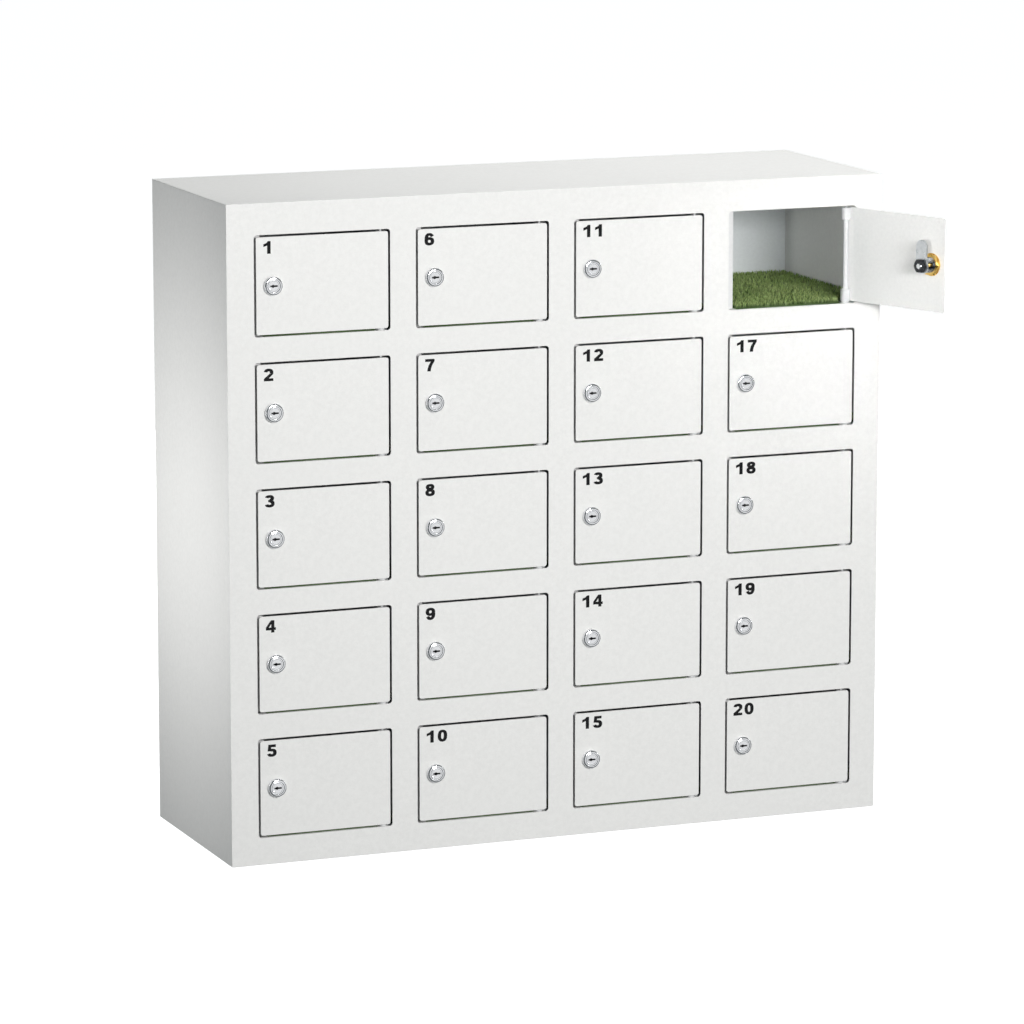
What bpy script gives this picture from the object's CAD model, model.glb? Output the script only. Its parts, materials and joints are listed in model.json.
"""Looks for the compartment locker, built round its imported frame. Metres, Z up, the doors face -Y."""
import json
import math
import random

import bmesh
import bpy
from mathutils import Matrix, Vector
from mathutils.geometry import tessellate_polygon


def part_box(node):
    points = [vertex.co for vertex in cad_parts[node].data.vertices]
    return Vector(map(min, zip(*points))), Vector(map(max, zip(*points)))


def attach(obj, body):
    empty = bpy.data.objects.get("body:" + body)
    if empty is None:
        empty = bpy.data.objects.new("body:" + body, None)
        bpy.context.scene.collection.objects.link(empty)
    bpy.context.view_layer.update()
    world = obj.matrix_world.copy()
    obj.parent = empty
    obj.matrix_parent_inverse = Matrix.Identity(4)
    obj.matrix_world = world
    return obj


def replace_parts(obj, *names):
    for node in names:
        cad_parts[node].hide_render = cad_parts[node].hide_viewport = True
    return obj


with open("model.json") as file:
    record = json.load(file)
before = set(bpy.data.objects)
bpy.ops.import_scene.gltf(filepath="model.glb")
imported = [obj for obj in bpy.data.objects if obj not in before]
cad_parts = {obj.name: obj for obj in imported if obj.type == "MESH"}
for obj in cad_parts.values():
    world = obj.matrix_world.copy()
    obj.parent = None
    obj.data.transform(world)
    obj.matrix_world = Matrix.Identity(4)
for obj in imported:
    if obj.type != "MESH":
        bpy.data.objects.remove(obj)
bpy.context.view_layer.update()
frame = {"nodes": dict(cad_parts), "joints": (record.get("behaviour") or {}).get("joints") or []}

# ---- sizes in millimetres, in the part's own names ----

MM = 0.001
door_t = 2.0
front_t = 1.5
flange_d = 13.5
casing_t = 1.2
inner_t = 1.0
strip_w = 35.0
opening_r = 4.0
door_gap = 2.75
pin_reach = 8.25
bush_hole_d = 7.1
rod_d = 7.0
knuckle_d = 13.0
knuckle_h = 16.0
tab_h = 4.0
tab_t = 2.5
tab_setback = 1.0
lower_pin_d = 4.0
upper_pin_d = 3.0
fit_clearance = 0.05
running_clearance = 0.05
collar_d = 24.5
collar_h = 5.0
plug_d = 16.6
plug_stem_d = 12.0
barrel_d = 20.0
barrel_flats = 17.5
barrel_end = 20.0
plug_head_depth = 4.0
plug_sink = 0.3
keyway_l = 10.0
keyway_w = 2.2
keyway_bulge_d = 4.0
keyway_depth = 9.0
lock_nut_af = 27.0
lock_nut_h = 3.5
lock_washer_d = 30.0
lock_washer_t = 1.2
cam_z = 20.3
cam_t = 2.5
cam_w = 18.0
cam_hub_d = 22.0
cam_len = 34.0
cam_nut_af = 16.5
cam_nut_h = 4.5
cam_screw_d = 8.0
cam_screw_proud = 1.0
mat_t = 8.0
mat_clearance = 1.0
strike_reach = 12.5
columns = 4
rows = 5

# ---- places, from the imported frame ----

JOINTS = {joint["name"]: joint for joint in frame["joints"]}
NUMBERS = range(1, columns * rows + 1)
front_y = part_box("front_stiles")[0].y / MM
case_low, case_high = (Vector(corner) / MM for corner in (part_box("top_panel")[0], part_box("top_panel")[1]))
case_w = case_high.x - case_low.x
case_h = case_high.z
back_y = case_high.y


def hinge_at(n):
    return Vector(JOINTS[f"door_{n:02}_swing"]["pos_m"]) / MM


def lock_at(n):
    return Vector(JOINTS[f"lock_{n:02}_turn"]["pos_m"]) / MM


# Door 1 is stored closed, so its node and its lock give the sizes that every door shares.
door_low, door_high = (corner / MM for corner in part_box("door_01"))
door_left = door_low.x - hinge_at(1).x
door_right = door_high.x - hinge_at(1).x
door_half_h = (door_high.z - door_low.z) / 2 - pin_reach
door_front = front_y - hinge_at(1).y
lock_offset = lock_at(1) - hinge_at(1)
opening_w = door_right - door_left + 2 * door_gap
opening_h = 2 * (door_half_h + door_gap)
mat_front = math.hypot(door_right, door_front) - door_front + mat_clearance


def door_frame(n):
    """The hinge's axis at the door's middle height, turned as far as the door is stored open."""
    x, y, _ = JOINTS[f"lock_{n:02}_turn"]["axis"]
    spot = Vector((hinge_at(n).x, hinge_at(n).y, lock_at(n).z)) * MM
    return Matrix.Translation(spot) @ Matrix.Rotation(math.atan2(x, -y), 4, "Z")


def lock_frame(n):
    """The lock's axis on the door's face: Z runs into the cabinet, and -Y is up."""
    return door_frame(n) @ Matrix.Translation(lock_offset * MM) @ Matrix.Rotation(math.radians(-90), 4, "X")


def opening(n):
    """Left, bottom, right and top of compartment n's opening."""
    right = hinge_at(n).x + door_right + door_gap
    middle = lock_at(n).z
    return right - opening_w, middle - opening_h / 2, right, middle + opening_h / 2


# ---- finishes ----

class Socket:
    """A value in a finish's node tree. Arithmetic on it adds Math nodes."""

    def __init__(self, finish, link):
        self.finish = finish
        self.link = link

    def math(self, operation, *values):
        return self.finish.node("ShaderNodeMath", {"operation": operation}, dict(enumerate(values)))

    def __add__(self, other):
        return self.math("ADD", self, other)

    def __mul__(self, other):
        return self.math("MULTIPLY", self, other)

    def __pow__(self, other):
        return self.math("POWER", self, other)

    def __rpow__(self, other):
        return self.math("POWER", other, self)

    __radd__ = __add__
    __rmul__ = __mul__


class Finish:
    """One procedural material."""

    def __init__(self, name):
        self.material = bpy.data.materials.new(name)
        self.material.use_nodes = True
        self.tree = self.material.node_tree
        self.tree.nodes.clear()

    def node(self, kind, settings, sockets, output=0):
        made = self.tree.nodes.new(kind)
        for key, value in settings.items():
            if key == "stops":
                for stop, (place, colour) in zip(made.color_ramp.elements, value):
                    stop.position = place
                    stop.color = (*colour, 1)
            else:
                setattr(made, key, value)
        for key, value in sockets.items():
            if isinstance(value, Socket):
                self.tree.links.new(value.link, made.inputs[key])
            else:
                made.inputs[key].default_value = value
        return Socket(self, made.outputs[output]) if made.outputs else None

    def place(self):
        """The piece's own coordinates, in metres."""
        return self.node("ShaderNodeTexCoord", {}, {}, "Object")

    def noise(self, per_metre, detail=2.0, stretch=(1, 1, 1)):
        spot = self.node("ShaderNodeMapping", {}, {"Vector": self.place(), "Scale": stretch})
        return self.node("ShaderNodeTexNoise", {}, {"Vector": spot, "Scale": per_metre, "Detail": detail})

    def spread(self, value, low, high):
        """Stretches the middle of a noise to the whole range from 0 to 1."""
        return self.node("ShaderNodeMapRange", {}, {"Value": value, "From Min": low, "From Max": high})

    def ramp(self, value, dark, light):
        return self.node("ShaderNodeValToRGB", {"stops": [(0, dark), (1, light)]}, {"Fac": value})

    def blend(self, value, first, second):
        settings = {"data_type": "RGBA"}
        first, second = ((*c, 1) if isinstance(c, tuple) else c for c in (first, second))
        return self.node("ShaderNodeMix", settings, {"Factor": value, 6: first, 7: second}, 2)

    def bump(self, height, strength, depth):
        return self.node("ShaderNodeBump", {}, {"Height": height, "Strength": strength, "Distance": depth})

    def surface(self, **sockets):
        names = {key.replace("_", " ").title().replace("Ior", "IOR"): value for key, value in sockets.items()}
        shader = self.node("ShaderNodeBsdfPrincipled", {}, names)
        self.node("ShaderNodeOutputMaterial", {}, {"Surface": shader})
        return self.material


def tinted(colour, factor):
    return tuple(min(1.0, channel * factor) for channel in colour)


def powder_coat(name, colour, rough):
    """Fine-texture powder coat: pinhead grain, faint mottling and slow drift of tone."""
    f = Finish(name)
    grain = f.spread(f.noise(700, 3), 0.3, 0.7)
    mottle = f.spread(f.noise(210, 4), 0.3, 0.7)
    drift = f.spread(f.noise(5, 2), 0.3, 0.7)
    tone = f.ramp(mottle * 0.6 + grain * 0.4, tinted(colour, 0.93), tinted(colour, 1.03))
    worn = f.blend(drift * 0.35, tone, tinted(colour, 0.97))
    return f.surface(
        base_color=worn, roughness=rough + grain * 0.12 + drift * 0.05,
        normal=f.bump(grain * 0.7 + mottle * 0.3, 0.22, 0.0003), ior=1.5)


def smooth_coat(name, colour):
    """White nylon coating on the hinge pieces: glossy, with a slight orange peel."""
    f = Finish(name)
    peel = f.spread(f.noise(420, 2), 0.3, 0.7)
    shade = f.ramp(f.noise(60, 3), tinted(colour, 0.96), tinted(colour, 1.01))
    return f.surface(base_color=shade, roughness=0.3 + peel * 0.1, normal=f.bump(peel, 0.12, 0.0002))


def chrome_plate():
    f = Finish("chrome_plate")
    haze = f.spread(f.noise(90, 4), 0.35, 0.75)
    hairs = f.spread(f.noise(900, 2, (1, 1, 0.08)), 0.4, 0.7)
    shade = f.ramp(haze, (0.86, 0.87, 0.89), (0.76, 0.77, 0.8))
    return f.surface(
        base_color=shade, metallic=1.0, roughness=0.09 + haze * 0.07 + hairs * 0.02,
        normal=f.bump(hairs, 0.01, 0.0001))


def zinc_plate():
    f = Finish("zinc_plate")
    spangle = f.node("ShaderNodeTexVoronoi", {}, {"Vector": f.place(), "Scale": 260.0})
    cloud = f.spread(f.noise(140, 4), 0.3, 0.7)
    shade = f.ramp(spangle * 0.4 + cloud * 0.6, (0.62, 0.65, 0.68), (0.84, 0.86, 0.88))
    return f.surface(
        base_color=shade, metallic=1.0, roughness=0.24 + cloud * 0.16, normal=f.bump(cloud, 0.06, 0.0001))


def yellow_zinc():
    """Yellow passivate, which drifts from straw to amber with a rose and green bloom."""
    f = Finish("yellow_zinc")
    cloud = f.spread(f.noise(150, 3), 0.3, 0.7)
    bloom = f.spread(f.noise(420, 3), 0.45, 0.8)
    amber = f.ramp(cloud, (0.95, 0.56, 0.08), (0.98, 0.74, 0.24))
    shade = f.blend(bloom * 0.45, amber, (0.72, 0.36, 0.22))
    return f.surface(
        base_color=shade, metallic=1.0, roughness=0.22 + cloud * 0.14, normal=f.bump(bloom, 0.05, 0.0001))


def black_oxide():
    f = Finish("black_oxide")
    bloom = f.spread(f.noise(260, 4), 0.3, 0.7)
    shade = f.ramp(bloom, (0.012, 0.013, 0.015), (0.05, 0.052, 0.058))
    return f.surface(
        base_color=shade, metallic=0.4, roughness=0.28 + bloom * 0.15, normal=f.bump(bloom, 0.08, 0.0001))


def printed_ink():
    f = Finish("printed_ink")
    speck = f.spread(f.noise(900, 3), 0.3, 0.7)
    shade = f.ramp(speck, (0.006, 0.006, 0.007), (0.016, 0.016, 0.018))
    return f.surface(
        base_color=shade, roughness=0.62 + speck * 0.12, specular_ior_level=0.12,
        normal=f.bump(speck, 0.05, 0.0001))


def turf():
    """Plastic grass: dark at the roots, light at the tips, no two tufts quite the same green."""
    f = Finish("turf")
    height = f.node("ShaderNodeSeparateXYZ", {}, {"Vector": f.place()}, 2)
    up = f.spread(height, 0.0015, mat_t * MM)
    tuft = f.spread(f.noise(330, 2), 0.3, 0.7)
    patch = f.spread(f.noise(45, 3), 0.3, 0.7)
    leaf = f.blend(tuft, (0.27, 0.46, 0.1), (0.68, 0.9, 0.32))
    warm = f.blend(patch * 0.5, leaf, (0.72, 0.84, 0.36))
    shade = f.blend(up ** 1.2, (0.06, 0.11, 0.03), warm)
    return f.surface(base_color=shade, roughness=0.45 + tuft * 0.2, normal=f.bump(tuft, 0.1, 0.0002))


def pale_floor():
    f = Finish("pale_floor")
    drift = f.spread(f.noise(0.6, 2), 0.3, 0.7)
    shade = f.ramp(drift, (0.93, 0.93, 0.93), (0.95, 0.95, 0.95))
    return f.surface(
        base_color=shade, roughness=0.75 + drift * 0.05, emission_color=(1, 1, 1, 1), emission_strength=0.85)


PAINT = powder_coat("light_grey_powder_coat", (0.86, 0.86, 0.85), 0.4)
INNER_PAINT = powder_coat("inner_grey_powder_coat", (0.84, 0.885, 0.91), 0.42)
STRIKE_PAINT = powder_coat("strike_plate_coat", (0.76, 0.765, 0.77), 0.42)
WHITE = smooth_coat("white_hinge_coat", (0.68, 0.69, 0.7))
CHROME = chrome_plate()
ZINC = zinc_plate()
YELLOW = yellow_zinc()
BLACK = black_oxide()
INK = printed_ink()
TURF = turf()


# ---- mesh tools; shapes are drawn in millimetres ----

def arc(x, y, r, first, last, steps):
    """Points from one angle to the other, in degrees, both ends included."""
    angles = [math.radians(first + (last - first) * i / steps) for i in range(steps + 1)]
    return [(x + r * math.cos(a), y + r * math.sin(a)) for a in angles]


def rounded(left, bottom, right, top, r, steps=5):
    """A rectangle's outline with round corners, grown or shrunk by its own argument."""
    def at(grow):
        corner = max(r + grow, 0.01)
        x0, y0 = left - grow + corner, bottom - grow + corner
        x1, y1 = right + grow - corner, top + grow - corner
        return (arc(x1, y1, corner, 0, 90, steps) + arc(x0, y1, corner, 90, 180, steps)
                + arc(x0, y0, corner, 180, 270, steps) + arc(x1, y0, corner, 270, 360, steps))
    return at


def circle(x, y, r, steps=48):
    return lambda grow: arc(x, y, r + grow, 0, 360, steps)[:-1]


def loft(bm, rings, material=0):
    """Quads from each closed ring of points to the next. Returns the first and last rings' vertices."""
    made = [[bm.verts.new(point) for point in ring] for ring in rings]
    for low, high in zip(made, made[1:]):
        for i in range(len(low)):
            j = (i + 1) % len(low)
            bm.faces.new((low[i], low[j], high[j], high[i])).material_index = material
    return made[0], made[-1]


def cap(bm, loops, material=0):
    """Fills the flat area inside the first ring and outside the others."""
    corners = [vertex for loop in loops for vertex in loop]
    for triangle in tessellate_polygon([[vertex.co for vertex in loop] for loop in loops]):
        if len(set(triangle)) == 3:
            bm.faces.new([corners[i] for i in triangle]).material_index = material


def rounded_steps(depth, radius, steps=3):
    """(shrink, depth) pairs round an edge that starts on the face."""
    turn = [math.radians(90 * i / steps) for i in range(steps + 1)]
    return [(radius * (1 - math.sin(a)), depth + radius * (1 - math.cos(a))) for a in turn]


def plate(bm, outline, holes, depth, thickness, edge, stand):
    """A sheet with rounded edges. stand turns (u, v, depth) into a point."""
    front, back = [], []
    for shape, sign in [(outline, -1)] + [(hole, 1) for hole in holes]:
        near = rounded_steps(depth, edge)
        far = [(shrink, 2 * depth + thickness - d) for shrink, d in reversed(near)]
        rings = [[stand(u, v, d) for u, v in shape(sign * shrink)] for shrink, d in near + far]
        first, last = loft(bm, rings)
        front.append(first)
        back.append(last)
    cap(bm, front)
    cap(bm, back)


def upright(u, v, d):
    return (u, d, v)


def level(u, v, d):
    return (u, v, d)


def turned(bm, profile, steps=64, material=0):
    """A closed solid of revolution about Z from its (radius, z) profile. Its ends may lie on the axis."""
    rings = [[(r * math.cos(a), r * math.sin(a), z)
              for a in (2 * math.pi * i / steps for i in range(steps))] for r, z in profile]
    return loft(bm, rings, material)


def prism(bm, outline, low, high, edge, steps=2):
    """A solid on a flat outline, with its rims rounded."""
    bottom, top = loft(bm, [[(x, y, z) for x, y in outline] for z in (low, high)])
    faces = [bm.faces.new(bottom), bm.faces.new(top)]
    rims = [e for face in faces for e in face.edges]
    bmesh.ops.bevel(bm, geom=rims, offset=edge, segments=steps, profile=0.5, affect="EDGES")


def block(bm, low, high, edge):
    """A box with all its edges rounded."""
    made = bmesh.ops.create_cube(bm, size=1)["verts"]
    for vertex in made:
        vertex.co = Vector(low[i] if vertex.co[i] < 0 else high[i] for i in range(3))
    edges = list(dict.fromkeys(e for vertex in made for e in vertex.link_edges))
    bmesh.ops.bevel(bm, geom=edges, offset=edge, segments=2, profile=0.5, affect="EDGES")


def cut(bm, point, normal):
    """Takes away what lies beyond a plane, and closes the face it leaves."""
    geometry = bm.verts[:] + bm.edges[:] + bm.faces[:]
    found = bmesh.ops.bisect_plane(bm, geom=geometry, plane_co=point, plane_no=normal, clear_outer=True)
    rim = [e for e in found["geom_cut"] if isinstance(e, bmesh.types.BMEdge)]
    bmesh.ops.holes_fill(bm, edges=rim, sides=0)


def as_mesh(name, bm, *materials):
    mesh = bpy.data.meshes.new(name)
    bm.to_mesh(mesh)
    bm.free()
    for material in materials:
        mesh.materials.append(material)
    return mesh


def finished(name, bm, materials, sharp=32, even=True):
    """Turns a drawing in millimetres into a mesh in metres."""
    bmesh.ops.remove_doubles(bm, verts=bm.verts[:], dist=0.0005)
    bmesh.ops.recalc_face_normals(bm, faces=bm.faces[:])
    bm.transform(Matrix.Scale(MM, 4))
    mesh = as_mesh(name, bm, *materials)
    mesh.shade_smooth()
    mesh.set_sharp_from_angle(angle=math.radians(sharp))
    mesh["even"] = even
    return mesh


def piece(name, mesh, body, place=Matrix.Identity(4)):
    """Puts a mesh on a body."""
    made = bpy.data.objects.new(name, mesh)
    bpy.context.scene.collection.objects.link(made)
    made.matrix_world = place
    if mesh["even"]:
        weighted = made.modifiers.new("even_shading", "WEIGHTED_NORMAL")
        weighted.keep_sharp = True
    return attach(made, body)


def softened(node, radius, material, picked=lambda low, high: True):
    """A CAD sheet with its outer edges rounded as folded steel has them."""
    bm = bmesh.new()
    bm.from_mesh(frame["nodes"][node].data)
    bm.transform(Matrix.Scale(1 / MM, 4))
    bmesh.ops.remove_doubles(bm, verts=bm.verts[:], dist=0.001)
    bmesh.ops.dissolve_limit(bm, angle_limit=math.radians(0.5), verts=bm.verts[:], edges=bm.edges[:])
    edges = []
    for e in bm.edges:
        if len(e.link_faces) == 2 and e.is_convex and e.calc_face_angle() > math.radians(45):
            ends = [vertex.co for vertex in e.verts]
            if picked(*(Vector(map(pick, *ends)) for pick in (min, max))):
                edges.append(e)
    bmesh.ops.bevel(
        bm, geom=edges, offset=radius, segments=2, profile=0.5, affect="EDGES", clamp_overlap=True)
    made = piece(node + "_sheet", finished(node + "_sheet", bm, [material]), "cabinet")
    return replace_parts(made, node)


# ---- cabinet ----

# How far off a face an edge may lie and still count as on it.
EDGE = 0.01


def on_back(low, high):
    return min(low.y, high.y) > back_y - EDGE


def on_side(low, high):
    return max(abs(low.x), abs(high.x)) > case_w / 2 - EDGE and abs(low.x - high.x) < EDGE


def on_end(low, high):
    return (low.z > case_h - EDGE or high.z < EDGE) and (on_back(low, high) or on_side(low, high))


def upright_corner(low, high):
    return on_back(low, high) and on_side(low, high)


def front_frame():
    """The pierced front sheet, with the folds above and below each opening."""
    bm = bmesh.new()
    outline = rounded(-case_w / 2, 0, case_w / 2, case_h, 1.2, 3)
    holes = [rounded(*opening(n), opening_r) for n in NUMBERS]
    plate(bm, outline, holes, front_y, front_t, 0.25, upright)
    for n in NUMBERS:
        left, bottom, right, top = opening(n)
        fold = rounded(left + opening_r, front_y + front_t, right - opening_r, front_y + flange_d, 1.0, 2)
        hole = circle(hinge_at(n).x, hinge_at(n).y, bush_hole_d / 2, 24)
        for low in (bottom - front_t, top):
            plate(bm, fold, [hole], low, front_t, 0.25, level)
    made = piece("front_frame", finished("front_frame", bm, [PAINT]), "cabinet")
    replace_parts(made, "front_stiles", "front_rails")


def carcass():
    front_frame()
    for node in ("top_panel", "bottom_panel"):
        softened(node, 1.0, PAINT, on_end)
    for node in ("left_side", "right_side"):
        softened(node, 1.0, PAINT, upright_corner)
    softened("back_panel", 0.2, INNER_PAINT)
    for node in ("divider_1", "divider_2", "divider_3"):
        softened(node, 0.3, INNER_PAINT)
    softened("shelves", 0.3, INNER_PAINT)
    softened("strike_plates", 0.4, STRIKE_PAINT)
    softened("upper_hinge_bushes", 0.3, WHITE)
    softened("lower_hinge_bushes", 0.3, WHITE)


# ---- doors ----

def door_panel_mesh():
    bm = bmesh.new()
    outline = rounded(door_left, -door_half_h, door_right, door_half_h, opening_r - 1, 6)
    hole = circle(lock_offset.x, 0, barrel_d / 2 + fit_clearance)
    plate(bm, outline, [hole], door_front, door_t, 0.3, upright)
    return finished("door_panel", bm, [PAINT])


def hinge_rod_mesh():
    """A turned rod with a knuckle and a pin at each end, cut flat where it lies on the door."""
    bm = bmesh.new()
    tip, soft, root = 0.4, 0.9, 0.8
    half = door_half_h
    knee = half - knuckle_h

    def half_profile(pin_r):
        knuckle_r, rod_r = knuckle_d / 2, rod_d / 2
        top = [(knuckle_r - soft + x, half - soft + y) for x, y in arc(0, 0, soft, 90, 0, 4)]
        base = [(knuckle_r - soft + x, knee + soft + y) for x, y in arc(0, 0, soft, 0, -90, 4)]
        neck = [(rod_r + root - x, knee - root + y) for x, y in arc(0, 0, root, 90, 0, 3)]
        pin = [(0, half + pin_reach), (pin_r - tip, half + pin_reach), (pin_r, half + pin_reach - tip)]
        return pin + [(pin_r, half)] + top + base + neck

    upper = half_profile(upper_pin_d / 2)
    lower = [(r, -z) for r, z in reversed(half_profile(lower_pin_d / 2))]
    turned(bm, upper + lower, 40)
    bmesh.ops.remove_doubles(bm, verts=bm.verts[:], dist=0.0005)
    back_of_door = door_front + door_t
    cut(bm, (0, back_of_door + fit_clearance, 0), (0, -1, 0))
    for side in (-1, 1):
        middle = side * (half - knuckle_h / 2)
        low = (0, back_of_door + fit_clearance, middle - tab_h / 2)
        high = (door_right - tab_setback, back_of_door + tab_t, middle + tab_h / 2)
        block(bm, low, high, 0.4)
    return finished("hinge_rod", bm, [WHITE])


def threaded(r, low, high, pitch, depth):
    """Profile points of a thread's crests and roots from low to high."""
    count = int((high - low) / pitch)
    points = []
    for i in range(count):
        z = low + i * pitch
        points += [(r, z), (r, z + pitch * 0.25), (r - depth, z + pitch * 0.5), (r - depth, z + pitch * 0.75)]
    return points + [(r - depth, high)]


def lock_housing_mesh():
    bm = bmesh.new()
    rim, lip = 2.5, 0.5
    front = -collar_h - fit_clearance
    bore = plug_d / 2 + running_clearance
    stem = plug_stem_d / 2 + running_clearance
    barrel = threaded(barrel_d / 2, door_t, barrel_end - 0.6, 1.0, 0.35)
    turned(bm, barrel + [(barrel_d / 2 - 0.9, barrel_end), (stem, barrel_end), (stem, door_t)] + [barrel[0]])
    for side in (-1, 1):
        cut(bm, (side * barrel_flats / 2, 0, 0), (side, 0, 0))
    edge = [(collar_d / 2 - rim + x, front + rim - y) for x, y in arc(0, 0, rim, 90, 0, 8)]
    turned(bm, [(bore, plug_head_depth), (bore, front + lip), (bore + lip, front)] + edge
           + [(collar_d / 2, -fit_clearance - 0.2), (collar_d / 2 - 0.2, -fit_clearance),
              (barrel_d / 2, -fit_clearance), (barrel_d / 2, door_t), (stem, door_t), (stem, plug_head_depth),
              (bore, plug_head_depth)])
    return finished("lock_housing", bm, [CHROME])


def hexagon(af, angle):
    """The distance from the middle of a hexagon to its edge, with a corner at angle 0."""
    return af / 2 / math.cos(math.radians(angle % 60 - 30))


def nut_rings(af, bore, low, high):
    """Rings of a nut whose corners are turned down at its outer end."""
    angles = range(0, 360, 5)
    shoulder, flat, slope = 0.97 * af / 2, 0.5, math.tan(math.radians(30))

    def around(radius, height):
        spots = [(radius(a), math.radians(a), height(a)) for a in angles]
        return [(r * math.cos(turn), r * math.sin(turn), z) for r, turn, z in spots]

    def turned_down(a):
        return high - max(0.0, hexagon(af, a) - shoulder) * slope

    inside = around(lambda a: bore, lambda a: low)
    return [
        inside,
        around(lambda a: hexagon(af, a), lambda a: low),
        around(lambda a: hexagon(af, a), turned_down),
        around(lambda a: min(shoulder, hexagon(af, a)), lambda a: high),
        around(lambda a: bore + flat, lambda a: high),
        around(lambda a: bore, lambda a: high - flat),
        inside]


def lock_nut_mesh():
    bm = bmesh.new()
    low = door_t + fit_clearance
    bore = barrel_d / 2 + fit_clearance
    washer, soft = lock_washer_d / 2, 0.4
    face = low + lock_washer_t
    loft(bm, nut_rings(lock_nut_af, bore, face - 0.1, face + lock_nut_h))
    edge = [(washer - soft + x, face - soft + y) for x, y in arc(0, 0, soft, 0, 90, 3)]
    turned(bm, [(bore, low), (washer - 0.2, low), (washer, low + 0.2)] + edge + [(bore, face), (bore, low)])
    return finished("lock_nut", bm, [YELLOW], 25)


def keyway():
    """The slot with its round part, drawn round anticlockwise."""
    half, reach, r = keyway_w / 2, keyway_l / 2, keyway_bulge_d / 2
    bulge = -keyway_l / 8
    lean = math.degrees(math.asin(half / r))
    return ([(reach, -half), (reach, half)] + arc(bulge, 0, r, lean, 180 - lean, 8)
            + [(-reach, half), (-reach, -half)] + arc(bulge, 0, r, 180 + lean, 360 - lean, 8))


def key_plug_mesh():
    bm = bmesh.new()
    steps, soft, dish, ease = 64, 0.35, 0.25, 0.03
    face = -collar_h + plug_sink
    head, stem = plug_d / 2 - ease, plug_stem_d / 2 - ease
    shoulder = plug_head_depth - fit_clearance
    stem_end = cam_z - fit_clearance
    ring_r = head - 1.6
    screw_end = cam_z + cam_t + cam_nut_h + cam_screw_proud
    rim, _ = turned(bm, [
        (ring_r - 0.3, face + dish), (ring_r, face), (head - soft, face), (head, face + soft),
        (head, shoulder), (stem, shoulder), (stem, stem_end), (0, stem_end)], steps)
    mouth, deep = loft(bm, [[(x, y, z) for x, y in keyway()] for z in (face + dish, face + keyway_depth)], 1)
    cap(bm, [rim, mouth])
    cap(bm, [deep], 1)
    square = cam_screw_d / 2
    prism(bm, rounded(-square, -square, square, square, 0.5, 2)(0), stem_end - 0.2, cam_z + cam_t, 0.1)
    screw = threaded(cam_screw_d / 2, cam_z + cam_t, screw_end - 0.6, 0.8, 0.3)
    turned(bm, [(0, cam_z)] + screw + [(cam_screw_d / 2 - 0.9, screw_end), (0, screw_end)], 32)
    return finished("key_plug", bm, [CHROME, BLACK])


def lock_cam_mesh():
    bm = bmesh.new()
    tip = cam_w / 2
    meet = math.degrees(math.acos(tip / (cam_hub_d / 2)))
    hole = cam_screw_d / 2 + fit_clearance

    def outline(grow):
        end = arc(0, tip - cam_len, tip + grow, 180, 360, 16)
        return end + arc(0, 0, cam_hub_d / 2 + grow, -meet, 180 + meet, 28)

    plate(bm, outline, [rounded(-hole, -hole, hole, hole, 0.45, 2)], cam_z, cam_t, 0.35, level)
    return finished("lock_cam", bm, [ZINC])


def cam_nut_mesh():
    bm = bmesh.new()
    low = cam_z + cam_t + fit_clearance
    loft(bm, nut_rings(cam_nut_af, cam_screw_d / 2 + fit_clearance, low, low + cam_nut_h))
    return finished("cam_nut", bm, [BLACK], 25)


# Below 1 an oval bulges towards its box's corners.
SQUARENESS = 0.86


def oval(x, y, rx, ry, first, last):
    """Points along a squarish oval, from one angle to the other."""
    def squared(part):
        return math.copysign(abs(part) ** SQUARENESS, part)

    return [(x + rx * squared(px), y + ry * squared(py)) for px, py in arc(0, 0, 1, first, last, 20)]


def bowl(x, y, rx, ry, first, last):
    """A curved stroke, thinner where it lies level."""
    return [oval(x, y, rx, ry, first, last) + oval(x, y, rx - stem_w, ry - bar_w, last, first)]


def hoop(x, y, rx, ry):
    """A closed stroke: its outside and its counter."""
    return [oval(x, y, rx, ry, 0, 360)[:-1], oval(x, y, rx - stem_w, ry - bar_w, 0, 360)[:-1]]


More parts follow.
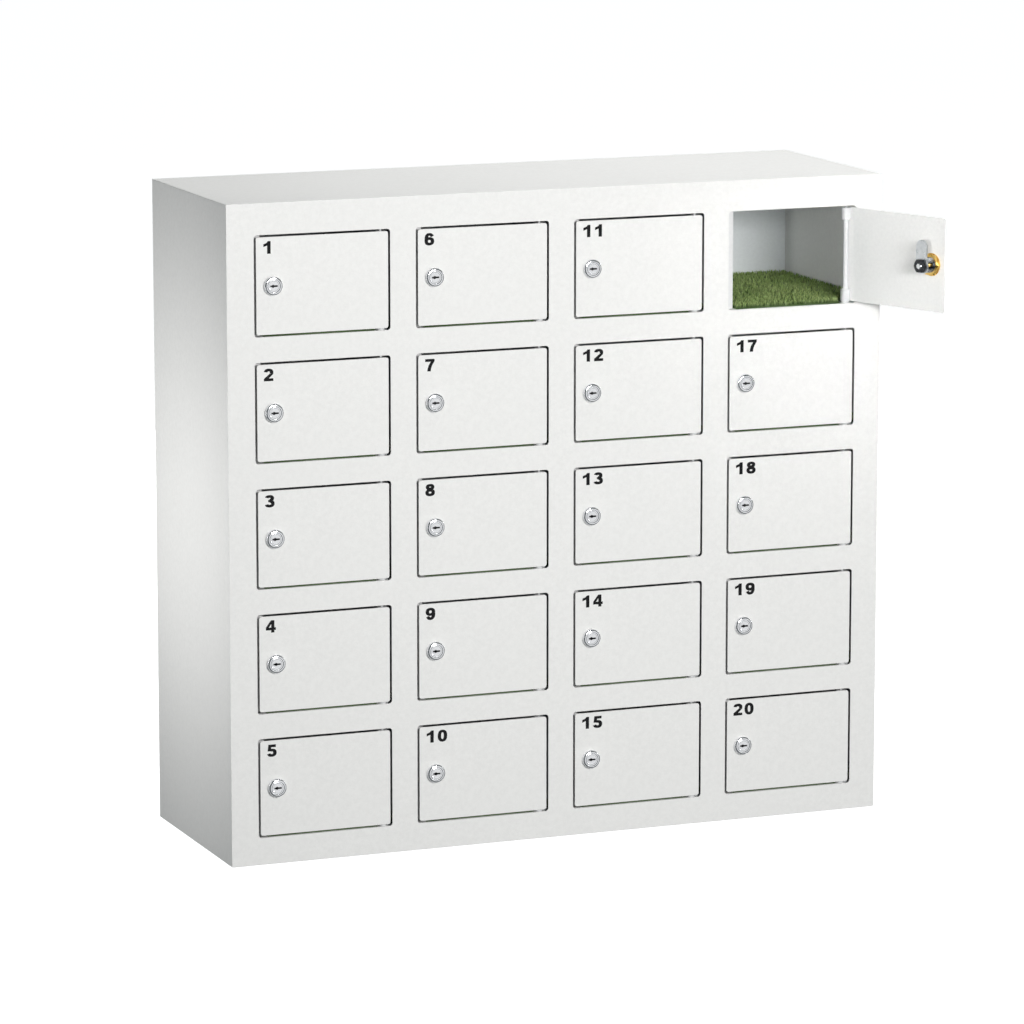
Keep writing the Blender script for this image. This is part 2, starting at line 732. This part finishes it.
# Bold wide figures, each a list of strokes, and each stroke an outline followed by its counters.
stem_w, bar_w = 4.7, 3.5
figure_h, figure_step = 16.0, 16.2
SIX = [hoop(6.6, 5.3, 6.6, 5.3), bowl(6.6, 8, 6.6, 8, 28, 180),
       [[(0, 5), (stem_w, 5), (stem_w, 8.3), (0, 8.3)]]]
FIGURES = {
    "0": [hoop(6.6, 8, 6.6, 8)],
    "1": [[[(6, 0), (10.7, 0), (10.7, 16), (7, 16), (5.4, 13.9), (1, 12.2), (1, 8.7), (6, 10.5)]]],
    "2": [bowl(6.6, 11, 6.4, 5, 172, -32),
          [[(0.2, 0), (13, 0), (13, bar_w), (7, bar_w), (12.6, 8.9), (8.2, 9.6), (0.2, 3.2)]]],
    "3": [bowl(6.4, 11.7, 6.1, 4.3, 165, -90), bowl(6.6, 4.8, 6.6, 4.8, 90, -168),
          [[(4.6, 6.9), (7, 6.9), (7, 9.7), (4.6, 9.7)]]],
    "4": [[[(7.2, 0), (11.5, 0), (11.5, 3.2), (13.5, 3.2), (13.5, 6.6), (11.5, 6.6), (11.5, 16), (7, 16),
            (0, 7), (0, 3.2), (7.2, 3.2)], [(7.2, 6.6), (3.9, 6.6), (7.2, 11.2)]]],
    "5": [bowl(6.6, 5.3, 6.6, 5.3, 128, -166),
          [[(2, 16), (1, 7.4), (4.6, 7.4), (5.6, 9.6), (5.9, 12.5), (12.2, 12.5), (12.2, 16)]]],
    "6": SIX,
    "7": [[[(0.4, 16), (0.4, 12.4), (8, 12.4), (5.2, 8), (3.7, 3.8), (3.2, 0), (8, 0), (8.4, 3.6), (10, 8),
            (13.2, 13), (13.2, 16)]]],
    "8": [hoop(6.6, 11.9, 6.0, 4.1), hoop(6.6, 4.7, 6.6, 4.7)],
    "9": [[[(13.2 - x, figure_h - y) for x, y in loop] for loop in stroke] for stroke in SIX]}


def number_mesh(n):
    """The door's number, printed at the top left of its face."""
    bm = bmesh.new()
    film, inset, drop = 0.08, 9.0, 5.2
    for i, figure in enumerate(str(n)):
        left, bottom = door_left + inset + i * figure_step, door_half_h - drop - figure_h
        for layer, stroke in enumerate(FIGURES[figure]):
            face = door_front - film - 0.01 * layer
            near, far = [], []
            for loop in stroke:
                spots = [[(left + x, y, bottom + z) for x, z in loop] for y in (face, door_front + film / 4)]
                first, last = loft(bm, spots)
                near.append(first)
                far.append(last)
            cap(bm, near)
            cap(bm, far)
    return finished(f"number_{n:02}", bm, [INK], even=False)


def doors():
    panel, rod, housing, nut = door_panel_mesh(), hinge_rod_mesh(), lock_housing_mesh(), lock_nut_mesh()
    plug, cam, cam_nut = key_plug_mesh(), lock_cam_mesh(), cam_nut_mesh()
    for n in NUMBERS:
        tag = f"{n:02}"
        door, lock = f"door_{tag}", f"lock_{tag}"
        at_door, at_lock = door_frame(n), lock_frame(n)
        made = {
            "door_panel": piece(f"door_panel_{tag}", panel, door, at_door),
            "hinge_rod": piece(f"hinge_rod_piece_{tag}", rod, door, at_door),
            "lock_housing": piece(f"lock_housing_piece_{tag}", housing, door, at_lock),
            "lock_nut": piece(f"lock_nut_piece_{tag}", nut, door, at_lock),
            "key_plug": piece(f"key_plug_piece_{tag}", plug, lock, at_lock),
            "lock_cam": piece(f"lock_cam_piece_{tag}", cam, lock, at_lock),
            "cam_nut": piece(f"cam_nut_piece_{tag}", cam_nut, lock, at_lock)}
        piece(f"number_{tag}", number_mesh(n), door, at_door)
        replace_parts(made["door_panel"], door)
        if lock in frame["nodes"]:
            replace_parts(made["key_plug"], lock)
        else:
            for kind in ("hinge_rod", "lock_housing", "lock_nut", "key_plug", "lock_cam", "cam_nut"):
                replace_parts(made[kind], f"{kind}_{tag}")


# ---- grass mats ----

def inside(point, boxes):
    return any(x0 <= point[0] <= x1 and y0 <= point[1] <= y1 for x0, y0, x1, y1 in boxes)


def grass_mesh(column):
    """A mat of curved plastic blades on a thin backing, round the middle of its opening."""
    draw = random.Random(7 + column)
    left, _, right, _ = opening(column * rows + 1)
    middle = (left + right) / 2
    to_divider = (strip_w - inner_t) / 2
    wall_left = casing_t - case_w / 2 if column == 0 else left - to_divider
    wall_right = case_w / 2 - casing_t if column == columns - 1 else right + to_divider
    x0, x1 = wall_left + mat_clearance - middle, wall_right - mat_clearance - middle
    front, back = front_y + mat_front, back_y - casing_t - inner_t - mat_clearance
    tongue = (left + strike_reach + mat_clearance - middle, front_y + door_t + 2 * mat_clearance,
              hinge_at(column * rows + 1).x - knuckle_d / 2 - 2 * mat_clearance - middle, front)
    boxes = [(x0, front, x1, back), tongue]
    bm = bmesh.new()
    outline = [(x0, back), (x0, front), (tongue[0], front), (tongue[0], tongue[1]),
               (tongue[2], tongue[1]), (tongue[2], front), (x1, front), (x1, back)]
    prism(bm, outline, 0.1, 1.5, 0.3, 1)
    spacing, width, base, jitter = 2.4, 1.5, 1.2, 1
    y = tongue[1] + 0.6
    while y < back - 0.5:
        x = x0 + 0.6
        while x < x1 - 0.5:
            root = Vector((x + draw.uniform(-jitter, jitter), y + draw.uniform(-jitter, jitter), base))
            turn, lean = draw.uniform(0, 2 * math.pi), draw.uniform(0.5, 4.2)
            height = draw.uniform(0.62, 1.0) * mat_t
            across = Vector((math.cos(turn), math.sin(turn), 0)) * width / 2
            away = Vector((-math.sin(turn), math.cos(turn), 0)) * lean
            knee = root + away * 0.35 + Vector((0, 0, (height - base) * 0.6))
            tip = root + away + Vector((0, 0, height - base))
            if inside(root, boxes) and inside(tip, boxes) and inside(knee, boxes):
                a, b, c, d, e = (bm.verts.new(p) for p in (
                    root - across, root + across, knee + across * 0.8, knee - across * 0.8, tip))
                bm.faces.new((a, b, c, d))
                bm.faces.new((d, c, e))
            x += spacing
        y += spacing
    bm.transform(Matrix.Scale(MM, 4))
    mesh = as_mesh(f"grass_{column + 1}", bm, TURF)
    mesh.shade_smooth()
    mesh["even"] = False
    return mesh, middle


def grass_mats():
    mats = []
    for column in range(columns):
        mesh, middle = grass_mesh(column)
        for row in range(rows):
            n = column * rows + row + 1
            place = Matrix.Translation(Vector((middle, 0, opening(n)[1])) * MM)
            mats.append(piece(f"grass_mat_{n:02}", mesh, "cabinet", place))
    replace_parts(mats[0], "grass_mats")


# ---- studio ----

def camera():
    down, right = 10.371, 21.792
    lens = bpy.data.cameras.new("camera")
    lens.sensor_width = 36.0
    lens.lens = 184.92
    lens.clip_end = 200
    made = bpy.data.objects.new("camera", lens)
    made.location = (-2.5541, -6.3662, 1.6628)
    made.rotation_euler = (math.radians(90 - down), 0, math.radians(-right))
    bpy.context.scene.collection.objects.link(made)
    bpy.context.scene.camera = made


def soft_box(name, spot, target, width, height, power, spread=180):
    lamp = bpy.data.lights.new(name, "AREA")
    lamp.shape = "RECTANGLE"
    lamp.size = width
    lamp.size_y = height
    lamp.energy = power
    lamp.color = (1, 0.99, 0.975)
    lamp.spread = math.radians(spread)
    made = bpy.data.objects.new(name, lamp)
    made.location = spot
    made.rotation_euler = (Vector(target) - Vector(spot)).to_track_quat("-Z", "Y").to_euler()
    made.visible_camera = False
    bpy.context.scene.collection.objects.link(made)
    return made


def studio():
    bm = bmesh.new()
    reach, drop = 60.0, 0.0005
    corners = [bm.verts.new((x * reach, y * reach, -drop)) for x, y in ((-1, -1), (1, -1), (1, 1), (-1, 1))]
    bm.faces.new(corners)
    floor = bpy.data.objects.new("floor", as_mesh("floor", bm, pale_floor()))
    floor.visible_diffuse = False
    floor.visible_glossy = False
    bpy.context.scene.collection.objects.link(floor)
    world = bpy.data.worlds.new("studio")
    bpy.context.scene.world = world
    world.use_nodes = True
    background = world.node_tree.nodes["Background"]
    background.inputs["Color"].default_value = (0.9, 0.975, 1, 1)
    background.inputs["Strength"].default_value = 0.17
    soft_box("key", (0.2, -3.2, 1.25), (0, 0, 0.5), 1.3, 0.6, 77)
    soft_box("front_card", (0.92, -2.85, -0.09), (0, 0, 0.43), 2.2, 1.5, 7.5)
    soft_box("overhead", (0.35, 0.1, 2.4), (0.2, 0, 0.85), 1.4, 1.2, 25).visible_glossy = False
    soft_box("side_glow", (-0.94, 0.03, 0.44), (-0.455, 0.03, 0.45), 0.4, 0.42, 2.6)
    soft_box("door_fill", (-1.3, -2.3, 1.0), (0.5, -0.24, 0.75), 0.4, 0.4, 0.28, 14)
    soft_box("rear_fill", (0.4, 3.1, 0.7), (0, 0, 0.43), 1.6, 1.2, 60).visible_glossy = False
    soft_box("right_fill", (3.1, 0.5, 1.1), (0.455, 0, 0.43), 1.6, 1.2, 50)
    bpy.context.scene.view_settings.view_transform = "Standard"


carcass()
doors()
grass_mats()
camera()
studio()
